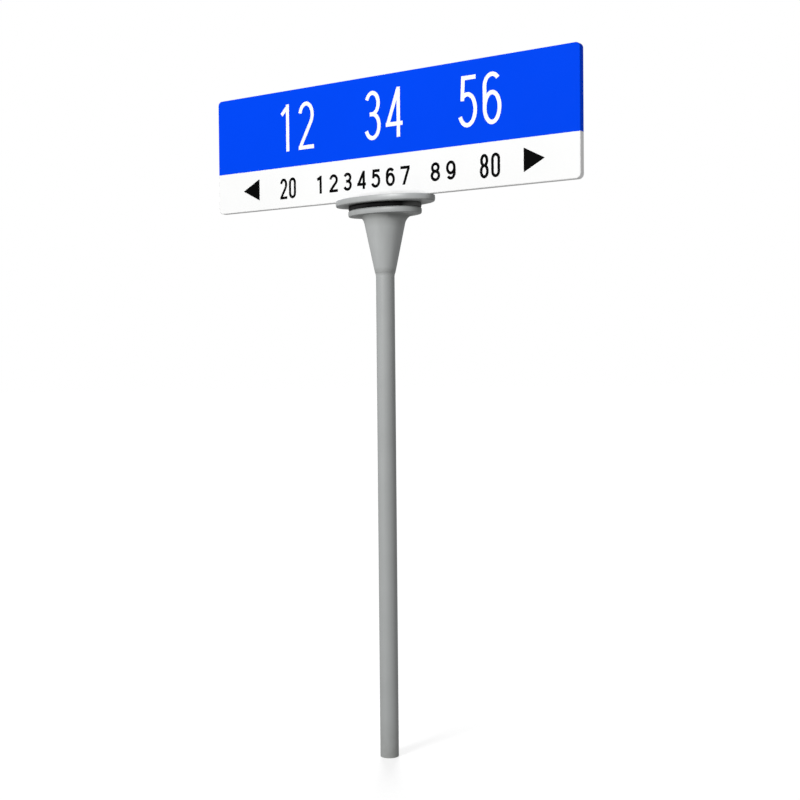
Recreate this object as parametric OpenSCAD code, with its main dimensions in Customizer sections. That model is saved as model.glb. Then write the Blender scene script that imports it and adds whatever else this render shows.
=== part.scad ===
// Two-sided street name sign: a long flat board standing on one round post.
// Origin at the centre of the post's foot, on the ground. +Z is up, the board
// runs along X, and its front face looks towards -Y.

/* [Board] */
// Length of the board
board_w = 1800; // [1200:10:2200]
// Height of the board
board_h = 500; // [400:5:700]
// Thickness of the board over both faces
board_t = 30; // [26:1:50]
// Radius of the board's four corners
corner_r = 20; // [8:1:40]
// Radius that the faces roll into the edges with
edge_r = 4; // [3.5:0.5:12]
// Height of the white lower band
white_h = 173; // [120:1:220]
// Sheet thickness of the two pressed shells
shell_t = 2; // [1:0.5:3]
// Thickness of the reflective sheeting
film_t = 0.5; // [0.4:0.1:1]

/* [Arrows] */
// Length of an arrow, from its tip to its back
arrow_l = 91; // [60:1:110]
// Height of an arrow
arrow_h = 93; // [60:1:110]
// Distance from the board's end to the arrow's tip
arrow_in = 148; // [60:1:200]
// Height of the arrow's tip above the board's foot
arrow_up = 90; // [60:1:110]

/* [Seat] */
// Half length of the upper oval plate
seat_a = 235; // [200:1:260]
// Half width of the upper oval plate
seat_b = 122; // [105:1:140]
// Thickness of the upper oval plate
seat_t = 25; // [16:1:36]
// Half length of the neck's oval flange
flange_a = 170; // [140:1:190]
// Half width of the neck's oval flange
flange_b = 102; // [98:1:110]
// Thickness of the neck's oval flange
flange_t = 25; // [14:1:36]
// Thickness of the black pad between the two plates
pad_t = 19; // [6:1:26]

/* [Post] */
// Outside diameter of the post
post_od = 76; // [60:1:89]
// Wall thickness of the post
post_wall = 3; // [2:0.5:5]
// Height of the neck's lower edge above the ground
neck_z = 1987; // [1600:1:2400]
// Height of the flared neck
neck_h = 233; // [160:1:300]
// Wall thickness of the flared neck
neck_wall = 4; // [3:0.5:6]
// Outside radius of the neck at its top
neck_r = 90; // [80:1:94]
// Height of the weld ring that blends the neck into the post
weld_h = 18; // [4:1:30]

/* [Hidden] */
$fn = 96;

flange_z = neck_z + neck_h;        // underside of the neck's flange
pad_z = flange_z + flange_t;       // underside of the pad
seat_z = pad_z + pad_t;            // underside of the upper plate
board_z = seat_z + seat_t;         // foot of the board
split_z = board_z + white_h;       // line between the white and the blue band
post_top = flange_z - 10;          // the post ends inside the neck
half_t = board_t / 2;
tongue_l = 360;
tongue_h = 90;
rail = 22;                         // section of the inner rails, across the board
rail_h = 20;                       // section of the inner rails, along the board's face

metal = [0.66, 0.67, 0.67];
inner = [0.72, 0.73, 0.74];
blue = [0.02, 0.25, 0.86];
white = [0.96, 0.96, 0.95];
black = [0.06, 0.06, 0.06];

// outline of a rectangle in X and Z with rounded corners, as a list of points
function arc(cx, cz, r, a0) = [for (i = [0 : 8]) [cx + r * cos(a0 + i * 11.25), cz + r * sin(a0 + i * 11.25)]];
function outline(w, h, r) = concat(
  arc(w / 2 - r, h / 2 - r, r, 0), arc(-w / 2 + r, h / 2 - r, r, 90),
  arc(-w / 2 + r, -h / 2 + r, r, 180), arc(w / 2 - r, -h / 2 + r, r, 270));

// rectangle of length l from y = -d back to y = y1, with its two front corners rounded
function section(l, d, r, y1) = concat([[l / 2, y1], [-l / 2, y1]],
  [for (i = [0 : 4]) [-l / 2 + r - r * cos(i * 22.5), -d + r - r * sin(i * 22.5)]],
  [for (i = [0 : 4]) [l / 2 - r + r * sin(i * 22.5), -d + r - r * cos(i * 22.5)]]);

// front half of the board less an inset, back to y1, with its face rolled into its edges
module half_board(inset, y1) {
  w = board_w - 2 * inset;
  h = board_h - 2 * inset;
  d = half_t - inset;
  r = edge_r - inset;
  intersection() {
    translate([0, y1, board_z + board_h / 2]) rotate([90, 0, 0])
      linear_extrude(y1 + half_t) polygon(outline(w, h, corner_r - inset));
    translate([0, 0, board_z - 1]) linear_extrude(board_h + 2) polygon(section(w, d, r, y1));
    translate([-board_w / 2 - 1, 0, board_z + board_h / 2]) rotate([90, 0, 90])
      linear_extrude(board_w + 2) polygon([for (q = section(h, d, r, y1)) [q[1], q[0]]]);
  }
}

// open pan on the front side of the seam: a face and a wall turned back to the seam
module pan(inset, t)
  difference() {
    half_board(inset, 0);
    half_board(inset + t, 1);
  }

module blue_half() translate([-board_w, -board_t, split_z]) cube([2 * board_w, 2 * board_t, board_h]);
module white_half() translate([-board_w, -board_t, board_z - 10]) cube([2 * board_w, 2 * board_t, white_h + 10]);

// oval plate of half length a, half width b and thickness t
module oval(a, b, t)
  linear_extrude(t) polygon([for (i = [0 : 95]) [a * cos(i * 3.75), b * sin(i * 3.75)]]);

// flat box bar given by its centre in X, its foot in Z and its sizes
module bar(x, z, l, h) translate([x - l / 2, -rail / 2, z]) cube([l, rail, h]);

module post_tube()
  color(metal) difference() {
    cylinder(h = post_top, d = post_od);
    translate([0, 0, -1]) cylinder(h = post_top + 2, d = post_od - 2 * post_wall);
  }

module neck_weld()
  color(metal) rotate_extrude() polygon([
    [post_od / 2, neck_z - weld_h], [post_od / 2 + neck_wall * 0.9, neck_z], [post_od / 2, neck_z]]);

module flared_neck()
  color(metal) rotate_extrude() polygon([
    [post_od / 2, neck_z], [post_od / 2 + neck_wall, neck_z],
    [neck_r, flange_z], [neck_r - neck_wall, flange_z]]);

module neck_flange()
  color(metal) translate([0, 0, flange_z]) oval(flange_a, flange_b, flange_t);

module rubber_gasket()
  color(black) translate([0, 0, pad_z]) oval(flange_a - 1, flange_b - 1, pad_t);

module seat_plate()
  color(metal) translate([0, 0, seat_z]) oval(seat_a, seat_b, seat_t);

// upright tongue that fills the foot of the board and carries it
module seat_tongue()
  color(inner) translate([-tongue_l / 2, -rail / 2, board_z])
    cube([tongue_l, rail, shell_t + film_t + tongue_h]);

in_x = board_w / 2 - film_t - shell_t;    // inside of the shells, half length
in_z0 = board_z + film_t + shell_t;
in_z1 = board_z + board_h - film_t - shell_t;

module bottom_rail()
  color(inner) for (s = [-1, 1])
    bar(s * (tongue_l / 2 + (in_x - corner_r - tongue_l / 2) / 2), in_z0, in_x - corner_r - tongue_l / 2, rail_h);

module top_rail() color(inner) bar(0, in_z1 - rail_h, 2 * (in_x - corner_r), rail_h);

module stile(s) bar(s * (in_x - corner_r - rail_h / 2), in_z0 + rail_h, rail_h, in_z1 - in_z0 - 2 * rail_h);
module left_stile() color(inner) stile(-1);
module right_stile() color(inner) stile(1);

module upright(s) bar(s * 120, in_z0 + tongue_h, rail_h, in_z1 - rail_h - in_z0 - tongue_h);
module left_upright() color(inner) upright(-1);
module right_upright() color(inner) upright(1);

// slot in the foot of the board that the tongue passes through
module tongue_slot() translate([-tongue_l / 2, -rail / 2, board_z - 1]) cube([tongue_l, rail, shell_t + film_t + 2]);

module shell() difference() { pan(film_t, shell_t); tongue_slot(); }
module front_shell() color(inner) shell();
module back_shell() color(inner) mirror([0, 1, 0]) shell();

module front_blue_sheeting() color(blue) intersection() { pan(0, film_t); blue_half(); }
module white_sheeting() difference() {
  intersection() { pan(0, film_t); white_half(); }
  tongue_slot();
}
module front_white_sheeting() color(white) white_sheeting();
module back_blue_sheeting() color(blue) mirror([0, 1, 0]) intersection() { pan(0, film_t); blue_half(); }
module back_white_sheeting() color(white) mirror([0, 1, 0]) white_sheeting();

// arrow head that points to -X, on the front face
module arrow()
  translate([-board_w / 2 + arrow_in, -half_t, board_z + arrow_up]) rotate([90, 0, 0])
    linear_extrude(film_t) polygon([[0, 0], [arrow_l, -arrow_h / 2], [arrow_l, arrow_h / 2]]);

module front_left_arrow() color(black) arrow();
module front_right_arrow() color(black) mirror([1, 0, 0]) arrow();
module back_left_arrow() color(black) mirror([0, 1, 0]) arrow();
module back_right_arrow() color(black) mirror([0, 1, 0]) mirror([1, 0, 0]) arrow();

post_tube();
neck_weld();
flared_neck();
neck_flange();
rubber_gasket();
seat_plate();
seat_tongue();
bottom_rail();
top_rail();
left_stile();
right_stile();
left_upright();
right_upright();
front_shell();
back_shell();
front_blue_sheeting();
front_white_sheeting();
back_blue_sheeting();
back_white_sheeting();
front_left_arrow();
front_right_arrow();
back_left_arrow();
back_right_arrow();
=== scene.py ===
import math

import bmesh
import bpy
from mathutils import Matrix, Vector, geometry


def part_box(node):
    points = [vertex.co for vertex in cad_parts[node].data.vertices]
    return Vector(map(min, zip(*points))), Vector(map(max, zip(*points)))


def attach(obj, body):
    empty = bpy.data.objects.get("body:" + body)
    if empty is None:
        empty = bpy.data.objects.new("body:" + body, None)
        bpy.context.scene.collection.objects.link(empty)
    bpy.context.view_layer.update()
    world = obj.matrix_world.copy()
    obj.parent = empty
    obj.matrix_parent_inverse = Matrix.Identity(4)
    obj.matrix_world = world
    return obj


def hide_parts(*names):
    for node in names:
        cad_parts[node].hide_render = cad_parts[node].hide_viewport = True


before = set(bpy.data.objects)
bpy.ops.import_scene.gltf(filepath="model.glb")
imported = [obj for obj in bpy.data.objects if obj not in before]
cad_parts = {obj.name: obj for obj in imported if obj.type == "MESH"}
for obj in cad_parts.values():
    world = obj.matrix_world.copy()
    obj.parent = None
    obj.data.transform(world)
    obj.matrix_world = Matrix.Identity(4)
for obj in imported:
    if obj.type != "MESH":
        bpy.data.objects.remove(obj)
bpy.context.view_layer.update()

# ---------------------------------------------------------------- sizes, read from the frame where it has them
board_lo, board_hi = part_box("front_blue_sheeting")
white_lo, white_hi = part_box("front_white_sheeting")
seat_lo, seat_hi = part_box("seat_plate")
pad_lo, pad_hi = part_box("rubber_gasket")
fl_lo, fl_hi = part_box("neck_flange")
neck_lo, neck_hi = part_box("flared_neck")
post_lo, post_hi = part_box("post_tube")

HX = board_hi[0]                  # half length of the board
Z0, Z1 = white_lo[2], board_hi[2] # foot and top of the board
ZS = white_hi[2]                  # line between the bands
FY = -board_lo[1]                 # half thickness of the board
CORNER = 0.020
EDGE = 0.004
FILM = 0.0005
SEAM = 0.0004                     # half width of the seam between the two halves
POST_R = post_hi[0]
NECK_Z, FL_Z = neck_lo[2], fl_lo[2]


# ---------------------------------------------------------------- mesh helpers
def finish_mesh(name, bm, angle=35.0, weighted=True):
    bmesh.ops.remove_doubles(bm, verts=bm.verts, dist=1e-6)
    bmesh.ops.recalc_face_normals(bm, faces=bm.faces)
    me = bpy.data.meshes.new(name)
    bm.to_mesh(me)
    bm.free()
    for p in me.polygons:
        p.use_smooth = True
    me.set_sharp_from_angle(angle=math.radians(angle))
    ob = bpy.data.objects.new(name, me)
    bpy.context.scene.collection.objects.link(ob)
    if weighted:
        m = ob.modifiers.new("normals", "WEIGHTED_NORMAL")
        m.keep_sharp = True
        m.weight = 80
    return ob


def loft(bm, rings, close_start=True, close_end=True, cyclic=False):
    """Quads between rings of equal length; the ends closed by one face each, or the last ring joined to the first."""
    made = [[bm.verts.new(p) for p in ring] for ring in rings]
    n = len(made[0])
    pairs = list(zip(made, made[1:]))
    if cyclic:
        pairs.append((made[-1], made[0]))
    for a, b in pairs:
        for i in range(n):
            j = (i + 1) % n
            bm.faces.new((a[i], a[j], b[j], b[i]))
    if not cyclic and close_start:
        bm.faces.new(made[0][::-1])
    if not cyclic and close_end:
        bm.faces.new(made[-1])
    return made


def revolve(bm, profile, n=128, cyclic=False, wobble=None):
    """Rings about Z from (radius, z) pairs."""
    rings = []
    for k, (r, z) in enumerate(profile):
        ring = []
        for i in range(n):
            a = 2 * math.pi * i / n
            rr = r + (wobble(k, a) if wobble else 0.0)
            ring.append((rr * math.cos(a), rr * math.sin(a), z))
        rings.append(ring)
    return loft(bm, rings, cyclic=cyclic)


def oval_ring(a, b, inset, z, n=160):
    """An ellipse set in by a true distance along its normals."""
    ring = []
    for i in range(n):
        t = 2 * math.pi * i / n
        nx, ny = math.cos(t) / a, math.sin(t) / b
        d = math.hypot(nx, ny)
        ring.append((a * math.cos(t) - inset * nx / d, b * math.sin(t) - inset * ny / d, z))
    return ring


def round_rim(a, b, z0, z1, r0, r1, phi=20.0, draft=0.0, steps=8):
    """Rings of a plate whose rim is crowned up to the slope phi and rolls into its lower and upper face by r0 and r1.
    draft is how much narrower its foot is than its top."""
    p = math.radians(phi)
    half, mid = (z1 - z0) / 2, (z0 + z1) / 2
    rings = []
    for sign, r in ((-1, r0), (1, r1)):
        hc = half - r * (1 - math.sin(p))
        rc = hc / math.sin(p)
        part = []
        for k in range(steps + 1):
            t = p * k / steps
            part.append((rc * (1 - math.cos(t)), hc / math.sin(p) * math.sin(t)))
        for k in range(1, steps + 1):
            t = p + (math.pi / 2 - p) * k / steps
            part.append((rc * (1 - math.cos(p)) + r * (math.cos(p) - math.cos(t)), hc + r * (math.sin(t) - math.sin(p))))
        part = [oval_ring(a, b, i + draft * (half - sign * z) / (2 * half), mid + sign * z) for i, z in part]
        rings += part[::-1] if sign < 0 else part[1:]
    return rings


def outline(inset, steps=10):
    """Rounded outline of the board in X and Z, set in by a distance."""
    hx, hz, r = HX - inset, (Z1 - Z0) / 2 - inset, CORNER - inset
    zc = (Z0 + Z1) / 2
    pts = []
    for cx, cz, a0 in ((1, 1, 0), (-1, 1, 90), (-1, -1, 180), (1, -1, 270)):
        for i in range(steps + 1):
            a = math.radians(a0 + 90 * i / steps)
            pts.append((cx * (hx - r) + r * math.cos(a), zc + cz * (hz - r) + r * math.sin(a)))
    return pts


def pan_rings(inset, steps=8):
    """Rings of the front half of the board, from the seam out to its face, set in by a distance."""
    r = EDGE - inset
    face = FY - inset
    rings = [[(x, -SEAM, z) for x, z in outline(inset)]]
    for k in range(steps + 1):
        t = math.pi / 2 * k / steps
        off = inset + r * (1 - math.cos(t))
        y = -(face - r + r * math.sin(t))
        rings.append([(x, y, z) for x, z in outline(off)])
    return rings


def sheeting(name, side, blue):
    """One band of sheeting, turned over the board's edge to the seam, as a closed skin."""
    bm = bmesh.new()
    outer, inner = pan_rings(0.0), pan_rings(FILM)
    made = loft(bm, outer[::-1], close_start=True, close_end=False)
    back = loft(bm, inner, close_start=False, close_end=True)
    for i in range(len(outer[0])):
        j = (i + 1) % len(outer[0])
        bm.faces.new((made[-1][i], made[-1][j], back[0][j], back[0][i]))
    cut = bmesh.ops.bisect_plane(
        bm, geom=bm.verts[:] + bm.edges[:] + bm.faces[:], dist=1e-7,
        plane_co=(0, 0, ZS), plane_no=(0, 0, 1), clear_inner=blue, clear_outer=not blue)
    edges = [g for g in cut["geom_cut"] if isinstance(g, bmesh.types.BMEdge)]
    bmesh.ops.holes_fill(bm, edges=edges, sides=0)
    if side > 0:
        bmesh.ops.scale(bm, vec=(1, -1, 1), verts=bm.verts)
    return finish_mesh(name, bm, angle=40)


def shell_pan(name, side):
    """The pressed sheet under the sheeting: an open pan with its wall turned back to the seam, as a closed solid."""
    bm = bmesh.new()
    outer, inner = pan_rings(FILM), pan_rings(FILM + 0.002)
    rings = outer[::-1] + inner
    made = loft(bm, rings[:len(outer)], close_start=True, close_end=False)
    back = loft(bm, rings[len(outer):], close_start=False, close_end=True)
    for i in range(len(outer[0])):
        j = (i + 1) % len(outer[0])
        bm.faces.new((made[-1][i], made[-1][j], back[0][j], back[0][i]))
    if side > 0:
        bmesh.ops.scale(bm, vec=(1, -1, 1), verts=bm.verts)
    return finish_mesh(name, bm, angle=40)


def flat_mark(name, points, side, cx, cz, thick=0.0005, lift=0.0, round_r=0.0):
    """A cut-film shape lying on a face: points in the face's own right and up, in metres."""
    bm = bmesh.new()
    pts = points
    if round_r:
        pts = []
        n = len(points)
        for i in range(n):
            p0, p1, p2 = (Vector(points[(i + k) % n]) for k in (-1, 0, 1))
            u, v = (p0 - p1).normalized(), (p2 - p1).normalized()
            half = u.angle(v) / 2
            t = round_r / math.tan(half)
            c = p1 + (u + v).normalized() * (round_r / math.sin(half))
            a, b = p1 + u * t - c, p1 + v * t - c
            ang = a.angle_signed(b)
            for k in range(7):
                w = Matrix.Rotation(-ang * k / 6, 2) @ a
                pts.append(tuple(c + w))
    base = -(FY + lift)
    low = [bm.verts.new((cx + side_x(side) * x, base * -side, cz + z)) for x, z in pts]
    top = [bm.verts.new((v.co.x, (FY + lift + thick) * side, v.co.z)) for v in low]
    bm.faces.new(low)
    bm.faces.new(top[::-1])
    n = len(pts)
    for i in range(n):
        j = (i + 1) % n
        bm.faces.new((low[i], low[j], top[j], top[i]))
    return finish_mesh(name, bm, angle=30, weighted=False)


def side_x(side):
    """+1 on the front face, whose right is +X, and -1 on the back face."""
    return 1.0 if side < 0 else -1.0


def arc(cx, cy, rx, ry, a0, a1, n=18):
    return [(cx + rx * math.cos(math.radians(a0 + (a1 - a0) * k / n)),
             cy + ry * math.sin(math.radians(a0 + (a1 - a0) * k / n))) for k in range(n + 1)]


def ribbon(path, t, closed=False):
    """A stroke of width t along a centre line, as flat quads with mitred turns."""
    pts = [Vector(p) for p in path]
    n = len(pts)
    sides = []
    for i, p in enumerate(pts):
        before = (p - pts[i - 1]).normalized() if closed or i else None
        after = (pts[(i + 1) % n] - p).normalized() if closed or i < n - 1 else None
        before, after = before or after, after or before
        along = (before + after).normalized()
        across = Vector((-along.y, along.x))
        k = t / 2 / max(0.5, across.dot(Vector((-before.y, before.x))))
        sides.append((p + across * k, p - across * k))
    last = n if closed else n - 1
    return [[sides[i][1], sides[(i + 1) % n][1], sides[(i + 1) % n][0], sides[i][0]] for i in range(last)]


def digit(ch, w, t):
    """One plain numeral, one unit tall and w wide, from strokes of width t."""
    h = t / 2
    rx, cx = w / 2 - h, w / 2
    low, high = (1 - t) * 0.265, (1 - t) * 0.235      # half heights of the two bowls
    cap = min(0.5 - h, rx * 1.3)
    if ch == "0":
        return ribbon((arc(cx, 1 - h - cap, rx, cap, 0, 180) + arc(cx, h + cap, rx, cap, 180, 360))[:-1], t, closed=True)
    if ch == "1":
        x = cx + 0.08 * w
        return ribbon([(x, 0), (x, 1)], t) + ribbon([(x - 0.40 * w, 0.79), (x, 1 - 1.25 * h)], t)
    if ch == "2":
        return ribbon(arc(cx, 1 - h - 0.24, rx, 0.24, 168, -38) + [(1.35 * h, 0.9 * t)], t) + ribbon([(0, h), (w, h)], t)
    if ch == "3":
        mid = h + 2 * low
        return (ribbon(arc(cx, mid + high, rx * 0.9, high, 158, -90), t) + ribbon(arc(cx, h + low, rx, low, 90, -158), t)
                + ribbon([(cx - 0.16 * w, mid), (cx + 0.01 * w, mid)], t))
    if ch == "4":
        x = 0.75 * w
        return (ribbon([(x, 0), (x, 1)], t) + ribbon([(0, 0.27), (w, 0.27)], t)
                + ribbon([(x - 0.2 * h, 1 - h), (1.1 * h, 0.27)], t))
    if ch == "5":
        c = 0.46 * w
        return (ribbon([(0.14 * w, 1 - h), (0.93 * w, 1 - h)], t) + ribbon([(0.14 * w + h, 1), (0.09 * w + h, 0.52)], t)
                + ribbon(arc(c, h + 0.30, w - h - c, 0.30, 132, -155), t))
    if ch in "69":
        quads = ribbon(arc(cx, h + 0.285, rx, 0.285, 0, 360, 32)[:-1], t, closed=True)
        quads += ribbon([(h, h + 0.285)] + arc(cx, 1 - h - cap, rx, cap, 180, 38), t)
        return quads if ch == "6" else [[Vector((w - v.x, 1 - v.y)) for v in q] for q in quads]
    if ch == "7":
        hx = h / math.cos(math.atan2(0.62 * w, 1 - t))
        foot, head = 0.34 * w, w - hx
        return ribbon([(0, 1 - h), (w, 1 - h)], t) + [[Vector(q) for q in (
            (foot - hx, 0), (foot + hx, 0), (head + hx, 1 - t), (head - hx, 1 - t))]]
    return (ribbon(arc(cx, h + low, rx, low, 0, 360, 32)[:-1], t, closed=True)
            + ribbon(arc(cx, 1 - h - high, rx * 0.88, high, 0, 360, 32)[:-1], t, closed=True))


def numerals(name, rows, side):
    """Plain numerals as one piece of cut film. rows holds (text, centre in the face's right, foot, height, width of a
    numeral, gap, stroke)."""
    bm = bmesh.new()
    for text, cx, z, height, w, gap, t in rows:
        start = cx - (len(text) * w + (len(text) - 1) * gap) / 2
        for i, ch in enumerate(text):
            verts, faces = [], []
            for quad in digit(ch, w / height, t / height):
                faces.append(list(range(len(verts), len(verts) + 4)))
                verts += quad
            v2, _, f2, _, _, origin = geometry.delaunay_2d_cdt(verts, [], faces, 1, 1e-6, True)
            left = start + i * (w + gap)
            made = [bm.verts.new((side_x(side) * (left + v.x * height), side * (FY - 0.0001), z + v.y * height)) for v in v2]
            flat = [bm.faces.new([made[k] for k in f]) for f, o in zip(f2, origin) if o]
            for v in made:
                if not v.link_faces:
                    bm.verts.remove(v)
            geo = bmesh.ops.extrude_face_region(bm, geom=flat)
            for v in (g for g in geo["geom"] if isinstance(g, bmesh.types.BMVert)):
                v.co.y = side * (FY + 0.0004)
    return finish_mesh(name, bm, angle=30, weighted=False)


# ---------------------------------------------------------------- material helpers
class Mat:
    """A node material with short calls for the nodes that the finishes share."""

    def __init__(self, name):
        self.m = bpy.data.materials.new(name)
        self.m.use_nodes = True
        self.t = self.m.node_tree
        self.n = self.t.nodes
        self.bsdf = self.n["Principled BSDF"]
        self.co = self.n.new("ShaderNodeTexCoord").outputs["Object"]

    def link(self, a, b):
        self.t.links.new(a, b)

    def mapped(self, scale):
        m = self.n.new("ShaderNodeMapping")
        m.inputs["Scale"].default_value = scale
        self.link(self.co, m.inputs["Vector"])
        return m.outputs["Vector"]

    def noise(self, scale, detail=3.0, rough=0.55, vec=None):
        n = self.n.new("ShaderNodeTexNoise")
        n.inputs["Scale"].default_value = scale
        n.inputs["Detail"].default_value = detail
        n.inputs["Roughness"].default_value = rough
        self.link(vec or self.co, n.inputs["Vector"])
        return n.outputs["Fac"]

    def ramp(self, fac, stops):
        r = self.n.new("ShaderNodeValToRGB")
        while len(r.color_ramp.elements) < len(stops):
            r.color_ramp.elements.new(0.5)
        for e, (p, c) in zip(r.color_ramp.elements, stops):
            e.position = p
            e.color = c if len(c) == 4 else (*c, 1)
        self.link(fac, r.inputs["Fac"])
        return r.outputs["Color"]

    def remap(self, fac, a, b, lo, hi):
        r = self.n.new("ShaderNodeMapRange")
        r.inputs["From Min"].default_value = a
        r.inputs["From Max"].default_value = b
        r.inputs["To Min"].default_value = lo
        r.inputs["To Max"].default_value = hi
        self.link(fac, r.inputs["Value"])
        return r.outputs["Result"]

    def math(self, op, a, b=None):
        m = self.n.new("ShaderNodeMath")
        m.operation = op
        for s, v in zip(m.inputs, (a, b)):
            if v is None:
                continue
            if isinstance(v, (int, float)):
                s.default_value = v
            else:
                self.link(v, s)
        return m.outputs[0]

    def mix(self, fac, a, b, blend="MIX"):
        m = self.n.new("ShaderNodeMix")
        m.data_type = "RGBA"
        m.blend_type = blend
        if isinstance(fac, (int, float)):
            m.inputs[0].default_value = fac
        else:
            self.link(fac, m.inputs[0])
        for s, v in ((m.inputs[6], a), (m.inputs[7], b)):
            if isinstance(v, tuple):
                s.default_value = (*v, 1)
            else:
                self.link(v, s)
        return m.outputs[2]

    def bump(self, height, strength, distance, before=None):
        b = self.n.new("ShaderNodeBump")
        b.inputs["Strength"].default_value = strength
        b.inputs["Distance"].default_value = distance
        self.link(height, b.inputs["Height"])
        if before is not None:
            self.link(before, b.inputs["Normal"])
        return b.outputs["Normal"]

    def height(self):
        s = self.n.new("ShaderNodeSeparateXYZ")
        self.link(self.co, s.inputs[0])
        return s.outputs["Z"]

    def set(self, **k):
        names = {"color": "Base Color", "rough": "Roughness", "metal": "Metallic", "spec": "Specular IOR Level",
                 "normal": "Normal", "coat": "Coat Weight", "coat_rough": "Coat Roughness"}
        for a, v in k.items():
            s = self.bsdf.inputs[names[a]]
            if isinstance(v, (int, float)):
                s.default_value = v
            elif isinstance(v, tuple):
                s.default_value = (*v, 1)
            else:
                self.link(v, s)
        return self


def srgb(r, g, b):
    return tuple(((c / 255 + 0.055) / 1.055) ** 2.4 if c > 10 else c / 255 / 12.92 for c in (r, g, b))


def paint(name, base, dirt_foot=False, shade_under_flange=False, contact=None, corner=None, right_end_shade=None, rough=0.44, spec=0.38):
    """Satin paint on metal: faint cloudiness, runs down the wall, orange peel and dust that gathers low down, with
    painted shade under the flange, along the weld, on the lip that faces the pad, in the corner between the seat's
    underside and the pad and on the end to the right. contact holds the heights of the face at the pad, of the painted
    shade's peak and of its end, and how strong it is. corner holds the pad's half length and half width, the height of
    the underside above it, and how strong the painted shade is in the corner between the two. The argument for the end
    to the right holds where the painted shade there starts and is full, and how much of it there is."""
    m = Mat(name)
    cloud = m.remap(m.noise(5.0, 4.0), 0.3, 0.7, 0.955, 1.035)
    run = m.remap(m.noise(1.0, 3.0, vec=m.mapped((38.0, 38.0, 1.4))), 0.3, 0.7, 0.965, 1.03)
    grit = m.remap(m.noise(620.0, 1.0), 0.3, 0.75, 0.985, 1.015)
    k = m.math("MULTIPLY", m.math("MULTIPLY", cloud, run), grit)
    grey = m.n.new("ShaderNodeVectorMath")
    grey.operation = "SCALE"
    grey.inputs[0].default_value = base
    m.link(k, grey.inputs["Scale"])
    col = grey.outputs[0]
    if dirt_foot:
        z = m.height()
        fade = m.remap(z, 0.0, 0.16, 0.55, 0.0)
        patch = m.remap(m.noise(26.0, 4.0), 0.35, 0.7, 0.25, 1.0)
        col = m.mix(m.math("MULTIPLY", fade, patch), col, (base[0] * 0.62, base[1] * 0.6, base[2] * 0.56))
    # painted shade: the neck darker under the flange and in a band along the weld
    if shade_under_flange:
        z = m.height()
        patch = m.remap(m.noise(22.0, 4.0, vec=m.mapped((1.0, 1.0, 0.45))), 0.35, 0.68, 0.72, 1.0)
        shelter = m.remap(z, FL_Z - 0.052, FL_Z - 0.006, 0.0, 0.84)
        low = m.remap(z, NECK_Z - 0.018, NECK_Z + 0.003, 0.0, 0.55)
        high = m.remap(z, NECK_Z + 0.008, NECK_Z + 0.021, 1.0, 0.0)
        neck_shade_mask = m.math("MAXIMUM", shelter, m.math("MULTIPLY", low, high))
        col = m.mix(m.math("MULTIPLY", neck_shade_mask, patch), col, (base[0] * 0.66, base[1] * 0.66, base[2] * 0.645))
        # painted shade, darkest on the neck just under the flange
        lip = m.math("MULTIPLY", m.remap(z, FL_Z - 0.023, FL_Z - 0.006, 0.0, 0.75), m.remap(z, FL_Z - 0.006, FL_Z, 1.0, 0.45))
        col = m.mix(lip, col, (base[0] * 0.40, base[1] * 0.40, base[2] * 0.39))
    # painted shade: the end to the right darker, where less light reaches it
    if right_end_shade:
        xyz = m.n.new("ShaderNodeSeparateXYZ")
        m.link(m.co, xyz.inputs[0])
        patch = m.remap(m.noise(20.0, 4.0), 0.3, 0.7, 0.8, 1.0)
        col = m.mix(m.math("MULTIPLY", m.remap(xyz.outputs["X"], right_end_shade[0], right_end_shade[1], 0.0, right_end_shade[2]), patch), col,
                    (base[0] * 0.45, base[1] * 0.44, base[2] * 0.43))
    # painted shade in the corner between the seat's underside and the pad, weaker towards the right
    if corner:
        xyz = m.n.new("ShaderNodeSeparateXYZ")
        m.link(m.co, xyz.inputs[0])
        ex = m.math("DIVIDE", xyz.outputs["X"], corner[0])
        ey = m.math("DIVIDE", xyz.outputs["Y"], corner[1])
        out = m.math("SQRT", m.math("ADD", m.math("MULTIPLY", ex, ex), m.math("MULTIPLY", ey, ey)))
        near = m.math("MULTIPLY", m.remap(out, 1.04, 1.24, corner[3], 0.0), m.remap(xyz.outputs["Z"], corner[2], corner[2] + 0.006, 1.0, 0.0))
        lee = m.remap(xyz.outputs["X"], 0.04, 0.12, 1.0, 0.35)
        col = m.mix(m.math("MULTIPLY", near, lee), col, (base[0] * 0.2, base[1] * 0.2, base[2] * 0.19))
    # painted shade on the lip that faces the pad
    if contact:
        z = m.height()
        face, peak, end, much = contact
        patch = m.remap(m.noise(36.0, 4.0), 0.35, 0.68, 0.8, 1.0)
        near = m.math("MULTIPLY", m.remap(z, face, peak, 0.22, 1.0), m.remap(z, peak, end, 1.0, 0.0))
        col = m.mix(m.math("MULTIPLY", m.math("MULTIPLY", near, much), patch), col, (base[0] * 0.3, base[1] * 0.3, base[2] * 0.29))
    gloss = m.remap(m.noise(14.0, 4.0), 0.3, 0.7, rough - 0.05, rough + 0.07)
    peel = m.bump(m.noise(330.0, 1.5), 0.22, 0.0004)
    return m.set(color=col, rough=gloss, spec=spec, normal=m.bump(m.noise(7.0, 2.0), 0.12, 0.004, peel)).m


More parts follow.
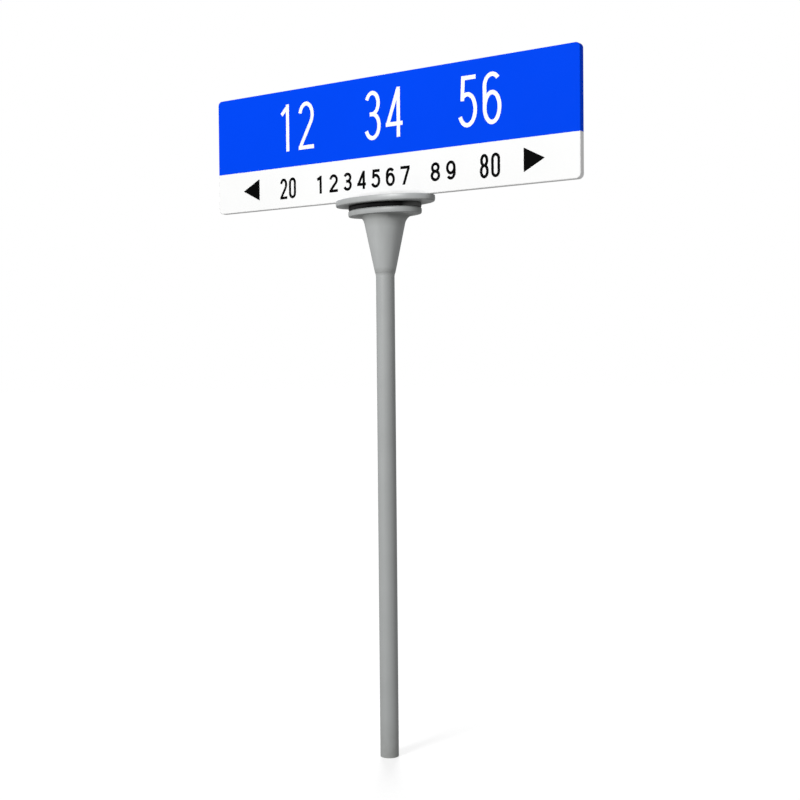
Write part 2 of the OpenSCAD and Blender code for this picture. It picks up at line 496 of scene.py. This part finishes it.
def film(name, base, spec=0.3, rough=0.42, cell=0.035, seat_shade=False):
    """Reflective sheeting: a faint honeycomb in the film, a soft gloss and a barely uneven face, and, where asked, a
    faint grey painted shade on the board just above the seat."""
    m = Mat(name)
    v = m.n.new("ShaderNodeTexVoronoi")
    v.feature = "DISTANCE_TO_EDGE"
    v.inputs["Scale"].default_value = 290.0
    v.inputs["Randomness"].default_value = 0.12
    m.link(m.co, v.inputs["Vector"])
    web = m.remap(v.outputs["Distance"], 0.02, 0.09, 1.0, 0.0)
    tone = m.remap(m.noise(3.2, 3.0), 0.3, 0.7, 0.985, 1.012)
    body = m.n.new("ShaderNodeVectorMath")
    body.operation = "SCALE"
    body.inputs[0].default_value = base
    m.link(tone, body.inputs["Scale"])
    pale = tuple(min(1.0, c * 1.05) for c in base)
    col = m.mix(m.math("MULTIPLY", web, cell), body.outputs[0], pale)
    # painted shade: grey on the sheeting just above the seat, following the seat's oval
    if seat_shade:
        xyz = m.n.new("ShaderNodeSeparateXYZ")
        m.link(m.co, xyz.inputs[0])
        along = m.math("DIVIDE", xyz.outputs["X"], seat_hi[0])
        arch = m.math("SQRT", m.math("MAXIMUM", m.math("SUBTRACT", 1.0, m.math("MULTIPLY", along, along)), 0.0))
        top = m.math("ADD", m.math("MULTIPLY", arch, 0.031), Z0)
        up = m.math("SUBTRACT", top, xyz.outputs["Z"])
        patch = m.remap(m.noise(34.0, 4.0), 0.3, 0.7, 0.55, 1.0)
        col = m.mix(m.math("MULTIPLY", m.remap(up, 0.0, 0.017, 0.0, 0.62), patch), col, (0.45, 0.45, 0.44))
    r = m.remap(m.noise(22.0, 3.0), 0.3, 0.7, rough - 0.04, rough + 0.05)
    fine = m.bump(v.outputs["Distance"], 0.05, 0.0002)
    return m.set(color=col, rough=r, spec=spec, normal=m.bump(m.noise(2.2, 1.0), 0.05, 0.01, fine)).m


def cut_film(name, base, spec=0.3, rough=0.46):
    """Thin cut film, matt, with a little unevenness."""
    m = Mat(name)
    k = m.remap(m.noise(40.0, 3.0), 0.3, 0.7, 0.9, 1.08)
    c = m.n.new("ShaderNodeVectorMath")
    c.operation = "SCALE"
    c.inputs[0].default_value = base
    m.link(k, c.inputs["Scale"])
    r = m.remap(m.noise(60.0, 2.0), 0.3, 0.7, rough - 0.05, rough + 0.06)
    return m.set(color=c.outputs[0], rough=r, spec=spec, normal=m.bump(m.noise(500.0, 1.0), 0.05, 0.0002)).m


def rubber(name):
    """Black moulded rubber with fine grain and a trace of dust, with painted light that makes it greyer towards its two
    ends and along its left part.
    """
    m = Mat(name)
    dust = m.remap(m.noise(18.0, 5.0), 0.45, 0.8, 0.0, 0.35)
    col = m.mix(dust, (0.0036, 0.0036, 0.0038), (0.014, 0.014, 0.0136))
    xyz = m.n.new("ShaderNodeSeparateXYZ")
    m.link(m.co, xyz.inputs[0])
    # painted light: the two ends and the left part greyer, as if less shaded by the seat
    out = m.remap(m.math("ABSOLUTE", xyz.outputs["X"]), 0.130, 0.166, 0.0, 1.0)
    out = m.math("MAXIMUM", out, m.remap(xyz.outputs["X"], -0.110, 0.0, 0.16, 0.0))
    col = m.mix(m.math("MULTIPLY", out, m.remap(m.noise(30.0, 4.0), 0.3, 0.7, 0.7, 1.0)), col, (0.150, 0.150, 0.149))
    r = m.remap(m.noise(30.0, 3.0), 0.3, 0.7, 0.64, 0.78)
    n = m.bump(m.noise(900.0, 2.0), 0.3, 0.0003)
    return m.set(color=col, rough=r, spec=0.09, normal=n).m


def mill_metal(name, base, rough=0.36):
    """Bare sheet with rolling marks along its length."""
    m = Mat(name)
    line = m.noise(1.0, 4.0, vec=m.mapped((3.0, 900.0, 900.0)))
    k = m.remap(line, 0.3, 0.7, 0.94, 1.04)
    c = m.n.new("ShaderNodeVectorMath")
    c.operation = "SCALE"
    c.inputs[0].default_value = base
    m.link(k, c.inputs["Scale"])
    r = m.remap(line, 0.3, 0.7, rough - 0.06, rough + 0.08)
    return m.set(color=c.outputs[0], rough=r, metal=1.0, normal=m.bump(line, 0.08, 0.0002)).m


def sealant(name):
    m = Mat(name)
    k = m.remap(m.noise(45.0, 3.0), 0.3, 0.7, 0.9, 1.06)
    c = m.n.new("ShaderNodeVectorMath")
    c.operation = "SCALE"
    c.inputs[0].default_value = (0.36, 0.36, 0.35)
    m.link(k, c.inputs["Scale"])
    r = m.remap(m.noise(30.0, 2.0), 0.3, 0.7, 0.5, 0.62)
    return m.set(color=c.outputs[0], rough=r, spec=0.35, normal=m.bump(m.noise(160.0, 2.0), 0.3, 0.0006)).m


GREY = srgb(169.5, 172, 171.5)
M_POST = paint("post_paint", GREY, dirt_foot=True)
M_CAST = paint("cast_paint", srgb(175.5, 178, 177.5), shade_under_flange=True)
# the flange and the seat get painted shade on their right ends and on the lips at the pad, and the seat also in its
# corner over the pad
M_FLANGE = paint("flange_paint", srgb(167.5, 170, 169.5), right_end_shade=(0.118, 0.168, 0.42), rough=0.46, spec=0.45,
                 contact=(fl_hi[2], fl_hi[2] - 0.0015, fl_hi[2] - 0.0080, 0.6))
M_PLATE = paint("plate_paint", srgb(173, 175.5, 175), right_end_shade=(0.222, 0.236, 0.45), rough=0.40, spec=0.75,
                contact=(seat_lo[2], seat_lo[2] + 0.0015, seat_lo[2] + 0.0060, 0.6),
                corner=(pad_hi[0], pad_hi[1], seat_lo[2], 0.8))
M_BLUE = film("blue_film", (0.0, 0.0585, 0.82), spec=0.012, rough=0.58)
# the white sheeting carries painted shade just above the seat
M_WHITE = film("white_film", (0.892, 0.893, 0.889), spec=0.3, seat_shade=True)
M_BLACK = cut_film("black_cut_film", (0.0019, 0.0019, 0.0019), spec=0.02, rough=0.56)
M_MARK = cut_film("white_cut_film", (0.95, 0.95, 0.945))
M_RUBBER = rubber("pad_rubber")
M_INNER = mill_metal("inner_sheet", (0.72, 0.73, 0.74))
M_STEEL = mill_metal("screw_steel", (0.55, 0.55, 0.54), rough=0.3)
M_SEAL = sealant("joint_seal")


def piece(ob, mat, slot, *nodes):
    ob.data.materials.clear()
    ob.data.materials.append(mat)
    if nodes:
        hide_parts(*nodes)
    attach(ob, "root")
    return ob


# ---------------------------------------------------------------- post
def quarter(cx, cz, r, a0, a1, steps=5):
    return [(cx + r * math.cos(math.radians(a0 + (a1 - a0) * k / steps)),
             cz + r * math.sin(math.radians(a0 + (a1 - a0) * k / steps))) for k in range(steps + 1)]


R, W = POST_R, 0.003
prof = quarter(R - 0.0008, 0.0008, 0.0008, -90, 0)
prof += [(R, 0.25 * k) for k in range(1, 8)] + [(R, NECK_Z - 0.02)]
prof += [(R, post_hi[2] - 0.0005), (R - 0.0005, post_hi[2]), (R - W + 0.0005, post_hi[2]), (R - W, post_hi[2] - 0.0005)]
prof += [(R - W, 0.0006), (R - W + 0.0006, 0.0)]
bm = bmesh.new()
revolve(bm, prof, cyclic=True)
post = piece(finish_mesh("post", bm), M_POST, "grey_paint", "post_tube")

# weld ring that blends the neck into the post, with the low ripple of a hand-laid bead
weld_lo, weld_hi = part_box("neck_weld")
wz0, wz1, wr = weld_lo[2], weld_hi[2], weld_hi[0] - R


def ripple(k, a):
    return 0.00014 * math.sin(46 * a + 0.8 * math.sin(3 * a)) * (1.0 if 2 < k < 12 else 0.0)


prof = [(R - 0.0006, wz0)]
for k in range(15):
    t = k / 14
    prof.append((R + wr * t ** 2.3, wz0 + (wz1 - wz0) * t))
prof += [(R - 0.0006, wz1)]
bm = bmesh.new()
revolve(bm, prof, n=368, cyclic=True, wobble=ripple)
piece(finish_mesh("neck_weld_bead", bm, angle=50), M_CAST, "grey_paint", "neck_weld")

# ---------------------------------------------------------------- flared neck
r0, r1 = R + 0.004, neck_hi[0]
slope = (r1 - r0) / (FL_Z - NECK_Z)
T_FILLET = 0.034                                  # height of the cast fillet under the flange


def reach(a):
    """How far the fillet runs out under the flange in direction a."""
    oval = 1 / math.hypot(math.cos(a) / fl_hi[0], math.sin(a) / fl_hi[1])
    return max(0.003, min(0.025, oval - 0.0075 - r1 - 0.0008))


N = 160
prof = [(R - 0.0005, NECK_Z), (r0 - 0.0012, NECK_Z), (r0 - 0.0004, NECK_Z + 0.0004), (r0, NECK_Z + 0.0014)]
for k in range(1, 10):
    z = NECK_Z + 0.0014 + (FL_Z - T_FILLET - NECK_Z - 0.0014) * k / 9
    prof.append((r0 + slope * (z - NECK_Z), z))
rings = [[(r * math.cos(2 * math.pi * i / N), r * math.sin(2 * math.pi * i / N), z) for i in range(N)] for r, z in prof]
for k in range(1, 11):
    t = math.pi / 2 * k / 10
    z = FL_Z - T_FILLET * (1 - math.sin(t))
    ring = []
    for i in range(N):
        a = 2 * math.pi * i / N
        r = r0 + slope * (z - NECK_Z) + reach(a) * (1 - math.cos(t))
        ring.append((r * math.cos(a), r * math.sin(a), z))
    rings.append(ring)
for r, z in ((r1 - 0.004, FL_Z), (R - 0.0005, NECK_Z + 0.0008)):
    rings.append([(r * math.cos(2 * math.pi * i / N), r * math.sin(2 * math.pi * i / N), z) for i in range(N)])
bm = bmesh.new()
loft(bm, rings, cyclic=True)
piece(finish_mesh("neck", bm, angle=50), M_CAST, "grey_paint", "flared_neck")

# ---------------------------------------------------------------- oval plates and pad
bm = bmesh.new()
loft(bm, round_rim(fl_hi[0], fl_hi[1], fl_lo[2], fl_hi[2], 0.004, 0.0065, phi=15.0))
piece(finish_mesh("flange", bm, angle=50), M_FLANGE, "grey_paint", "neck_flange")

bm = bmesh.new()
a, b = pad_hi[0], pad_hi[1]
rings = []
for k in range(13):
    t = k / 12
    bulge = 0.0016 * (1 - (2 * t - 1) ** 2)
    edge = 0.0016 * max(0.0, abs(2 * t - 1) - 0.75) / 0.25
    rings.append(oval_ring(a, b, 0.0016 - bulge + edge, pad_lo[2] + (pad_hi[2] - pad_lo[2]) * t))
loft(bm, rings)
piece(finish_mesh("pad", bm, angle=60), M_RUBBER, "black_rubber", "rubber_gasket")

bm = bmesh.new()
loft(bm, round_rim(seat_hi[0], seat_hi[1], seat_lo[2], seat_hi[2], 0.0055, 0.0025, phi=12.0, draft=0.001))
piece(finish_mesh("seat", bm, angle=50), M_PLATE, "grey_paint", "seat_plate")

# ---------------------------------------------------------------- low hexagon socket screws under the flange
bm = bmesh.new()
for sx in (-1, 1):
    for sy in (-1, 1):
        c = Vector((0.124 * sx, 0.036 * sy, fl_lo[2]))
        head, hexr, n = 0.0095, 0.0034, 48
        rings = []
        for r, z in ((head, 0.0), (head, -0.0010), (head - 0.0004, -0.0016), (head - 0.0014, -0.0021), (hexr * 1.25, -0.0024)):
            rings.append([(c.x + r * math.cos(2 * math.pi * i / n), c.y + r * math.sin(2 * math.pi * i / n), c.z + z) for i in range(n)])
        hexa = []
        for i in range(n):
            t = 2 * math.pi * i / n
            k = math.cos(math.pi / 6) / math.cos((t % (math.pi / 3)) - math.pi / 6)
            hexa.append((hexr * k * math.cos(t), hexr * k * math.sin(t)))
        rings.append([(c.x + x, c.y + y, c.z - 0.0021) for x, y in hexa])
        rings.append([(c.x + x * 0.98, c.y + y * 0.98, c.z - 0.0003) for x, y in hexa])
        loft(bm, rings)
piece(finish_mesh("flange_screws", bm, angle=35), M_STEEL, "bare_aluminium")

# ---------------------------------------------------------------- board
for side, word in ((-1, "front"), (1, "back")):
    piece(shell_pan(f"{word}_pan", side), M_INNER, "bare_aluminium", f"{word}_shell")
    piece(sheeting(f"{word}_blue", side, True), M_BLUE, "blue_sheeting", f"{word}_blue_sheeting")
    piece(sheeting(f"{word}_white", side, False), M_WHITE, "white_sheeting", f"{word}_white_sheeting")
    L, H = 0.091, 0.093
    tri = [(0, 0), (L, -H / 2), (L, H / 2)]
    tri_r = [(-x, z) for x, z in tri][::-1]
    left, right = ("left", "right")
    tip = HX - 0.148
    for sx, pts in ((-1, tri), (1, tri_r)):
        end = "left" if sx * side_x(side) < 0 else "right"
        ob = flat_mark(f"{word}_{end}_point", pts, side, side_x(side) * sx * tip, Z0 + 0.090, round_r=0.0012)
        piece(ob, M_BLACK, "black_film", f"{word}_{end}_arrow")
    big = [(t, x, Z0 + 0.240, 0.200, 0.083, 0.026, 0.0165) for t, x in (("12", -0.450), ("34", 0.008), ("56", 0.469))]
    piece(numerals(f"{word}_large_numerals", big, side), M_MARK, "white_sheeting")
    small = [("20", -0.499, Z0 + 0.038, 0.089, 0.039, 0.010, 0.0116), ("80", 0.512, Z0 + 0.036, 0.094, 0.040, 0.011, 0.0118)]
    for k, t in zip((0, 1, 2, 3, 4, 5, 6, 8, 9), "123456789"):
        small.append((t, -0.324 + 0.073 * k, Z0 + 0.045, 0.075, 0.045, 0.0, 0.0118))
    piece(numerals(f"{word}_small_numerals", small, side), M_BLACK, "black_film")

# seal in the seam between the two halves, seen as a fine line round the edge
bm = bmesh.new()
rings = []
for inset, y in ((0.0003, -SEAM), (0.0003, SEAM), (0.0011, SEAM), (0.0011, -SEAM)):
    rings.append([(x, y, z) for x, z in outline(inset)])
loft(bm, rings, cyclic=True)
piece(finish_mesh("edge_seam_seal", bm, angle=40), M_SEAL, "black_rubber")

# bead of sealant round the foot of the board on the seat
bm = bmesh.new()
for side in (-1, 1):
    x_end = seat_hi[0] * math.sqrt(1 - (FY / seat_hi[1]) ** 2) - 0.030
    n = 96
    path = [-x_end + 2 * x_end * i / n for i in range(n + 1)]
    sect = [(0.0, 0.0), (0.0, 0.0030), (0.0009, 0.0020), (0.0020, 0.0009), (0.0030, 0.0)]
    cols = []
    for i, x in enumerate(path):
        end = min(1.0, min(i, n - i) / 2.0 + 0.25)
        wob = 1.0 + 0.09 * math.sin(41 * x + side) + 0.05 * math.sin(97 * x)
        cols.append([bm.verts.new((x, side * (FY - 0.0085 + (0.0085 + dy * wob * end if dy else 0.0085)), Z0 + dz * wob * end)) for dy, dz in sect])
    for a, b in zip(cols, cols[1:]):
        for i in range(len(sect)):
            j = (i + 1) % len(sect)
            bm.faces.new((a[i], a[j], b[j], b[i]))
    bm.faces.new(cols[0][::-1])
    bm.faces.new(cols[-1])
piece(finish_mesh("board_foot_seal", bm, angle=60), M_SEAL, "black_rubber")

for name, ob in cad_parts.items():
    if not ob.hide_render:
        ob.data.materials.clear()
        ob.data.materials.append(M_INNER)

# ---------------------------------------------------------------- stage
def stage_disc(name, radius, z, mat):
    bm = bmesh.new()
    bmesh.ops.create_circle(bm, cap_ends=True, segments=128, radius=radius)
    me = bpy.data.meshes.new(name)
    bm.to_mesh(me)
    bm.free()
    ob = bpy.data.objects.new(name, me)
    ob.location.z = z
    bpy.context.scene.collection.objects.link(ob)
    ob.data.materials.append(mat)
    return ob


# pale floor, even and bright, with only the soft shade of the foot on it
fm = bpy.data.materials.new("pale_floor")
fm.use_nodes = True
fn, ft = fm.node_tree.nodes, fm.node_tree.links
fb = fn["Principled BSDF"]
fb.inputs["Roughness"].default_value = 0.9
fb.inputs["Specular IOR Level"].default_value = 0.0
fb.inputs["Emission Strength"].default_value = 1.0
co = fn.new("ShaderNodeTexCoord")
length = fn.new("ShaderNodeVectorMath")
length.operation = "LENGTH"
ft.new(co.outputs["Object"], length.inputs[0])
for socket, near, far in (("Base Color", 0.42, 0.0), ("Emission Color", 0.62, 1.02)):
    mr = fn.new("ShaderNodeMapRange")
    mr.interpolation_type = "SMOOTHSTEP"
    mr.inputs["From Min"].default_value = 0.25
    mr.inputs["From Max"].default_value = 2.6
    mr.inputs["To Min"].default_value = near
    mr.inputs["To Max"].default_value = far
    ft.new(length.outputs["Value"], mr.inputs["Value"])
    ft.new(mr.outputs["Result"], fb.inputs[socket])
floor = stage_disc("floor", 90.0, -0.0005, fm)
floor.visible_diffuse = False
floor.visible_glossy = False

world = bpy.data.worlds.new("studio")
world.use_nodes = True
wt = world.node_tree
bg = wt.nodes["Background"]
bg.inputs["Strength"].default_value = 1.0
tc = wt.nodes.new("ShaderNodeTexCoord")
sep = wt.nodes.new("ShaderNodeSeparateXYZ")
mr = wt.nodes.new("ShaderNodeMapRange")
mr.inputs["From Min"].default_value = -0.5
mr.inputs["From Max"].default_value = 0.5
mr.inputs["To Min"].default_value = 0.385
mr.inputs["To Max"].default_value = 0.330
front = wt.nodes.new("ShaderNodeMath")
front.operation = "MULTIPLY_ADD"                  # a little brighter in front of the board than behind it
front.inputs[1].default_value = -0.06
wt.links.new(tc.outputs["Generated"], sep.inputs[0])
wt.links.new(sep.outputs["Z"], mr.inputs["Value"])
wt.links.new(sep.outputs["Y"], front.inputs[0])
wt.links.new(mr.outputs["Result"], front.inputs[2])
wt.links.new(front.outputs[0], bg.inputs["Color"])
bpy.context.scene.world = world

# a plain white dome that only the camera sees, as the backdrop
dm = bpy.data.materials.new("backdrop")
dm.use_nodes = True
dn = dm.node_tree.nodes
dn.remove(dn["Principled BSDF"])
em = dn.new("ShaderNodeEmission")
em.inputs["Strength"].default_value = 1.0
dm.node_tree.links.new(em.outputs[0], dn["Material Output"].inputs["Surface"])
bm = bmesh.new()
bmesh.ops.create_uvsphere(bm, u_segments=64, v_segments=32, radius=95.0)
me = bpy.data.meshes.new("dome")
bm.to_mesh(me)
bm.free()
dome = bpy.data.objects.new("dome", me)
bpy.context.scene.collection.objects.link(dome)
dome.data.materials.append(dm)
for flag in ("visible_diffuse", "visible_glossy", "visible_transmission", "visible_volume_scatter", "visible_shadow"):
    setattr(dome, flag, False)


def area(name, loc, target, size, power, color=(1, 1, 1)):
    li = bpy.data.lights.new(name, "AREA")
    li.shape = "DISK"
    li.size = size
    li.energy = power
    li.color = color
    ob = bpy.data.objects.new(name, li)
    ob.location = loc
    ob.rotation_euler = (Vector(target) - Vector(loc)).to_track_quat("-Z", "Y").to_euler()
    bpy.context.scene.collection.objects.link(ob)
    return ob


area("key", (-0.51, -7.29, 5.15), (0, 0, 1.9), 2.8, 484)
area("back", (-4.3, 6.1, 6.0), (0, 0, 1.9), 3.4, 575)

# a low side light on the board's right end alone
li = bpy.data.lights.new("end", "SPOT")
li.energy = 12.6
li.spot_size = math.radians(22.0)
li.spot_blend = 0.5
li.shadow_soft_size = 0.15
ob = bpy.data.objects.new("end", li)
ob.location = (2.5, 0.0, 1.70)
ob.rotation_euler = (Vector((HX, 0.0, (Z0 + Z1) / 2)) - ob.location).to_track_quat("-Z", "Y").to_euler()
ob.visible_camera = False
bpy.context.scene.collection.objects.link(ob)

# ---------------------------------------------------------------- camera
def aim(cam, loc, yaw, pitch, roll):
    cy, sy, cp, sp = math.cos(yaw), math.sin(yaw), math.cos(pitch), math.sin(pitch)
    fwd = Vector((-sy * cp, cy * cp, sp))
    right = Vector((cy, sy, 0))
    up = right.cross(fwd)
    cr, sr = math.cos(roll), math.sin(roll)
    r2, u2 = cr * right + sr * up, cr * up - sr * right
    cam.matrix_world = Matrix((
        (r2.x, u2.x, -fwd.x, loc[0]), (r2.y, u2.y, -fwd.y, loc[1]), (r2.z, u2.z, -fwd.z, loc[2]), (0, 0, 0, 1)))


cam_data = bpy.data.cameras.new("camera")
cam = bpy.data.objects.new("camera", cam_data)
bpy.context.scene.collection.objects.link(cam)
cam_data.sensor_fit = "HORIZONTAL"
cam_data.sensor_width = 36.0
cam_data.lens = 1306.3 / 800.0 * 36.0
cam_data.clip_start, cam_data.clip_end = 0.1, 300.0
aim(cam, (3.134, -4.333, 1.601), math.radians(35.282), math.radians(-1.443), math.radians(-0.520))
bpy.context.scene.camera = cam

sc = bpy.context.scene
sc.view_settings.view_transform = "Standard"
sc.view_settings.look = "None"
sc.view_settings.exposure = 0.0
sc.view_settings.gamma = 1.0
